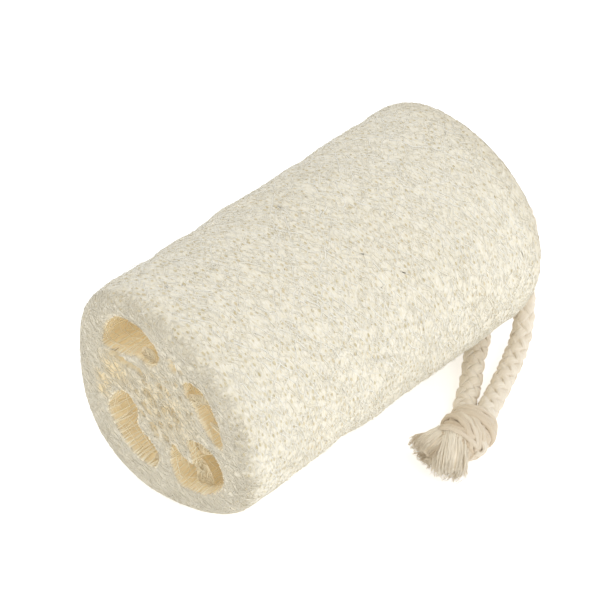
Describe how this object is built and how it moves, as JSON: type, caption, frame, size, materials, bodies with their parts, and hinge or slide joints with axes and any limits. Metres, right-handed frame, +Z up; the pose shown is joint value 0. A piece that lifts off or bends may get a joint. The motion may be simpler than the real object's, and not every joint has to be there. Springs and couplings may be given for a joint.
{
  "type": "natural loofah sponge",
  "caption": "Dried gourd skeleton cut square at both ends, with open seed chambers and a knotted rope loop through one end.",
  "frame": {"origin": "on the surface that the loofah lies on, under the middle of the loofah's own box (the rope left out)", "axes": "+X along the loofah, from the open cut face to the roped end; +Z up; +Y to the left when looking along +X"},
  "size_m": [0.1164, 0.0778, 0.0604],
  "materials": {
    "loofah_fibre": "dry matt plant fibre",
    "cotton_rope": "matt braided cotton"
  },
  "bodies": {
    "root": {"loofah_body": "loofah_fibre", "rope": "cotton_rope", "rope_knot": "cotton_rope", "frayed_end_left": "cotton_rope", "frayed_end_right": "cotton_rope"}
  },
  "joints": []
}
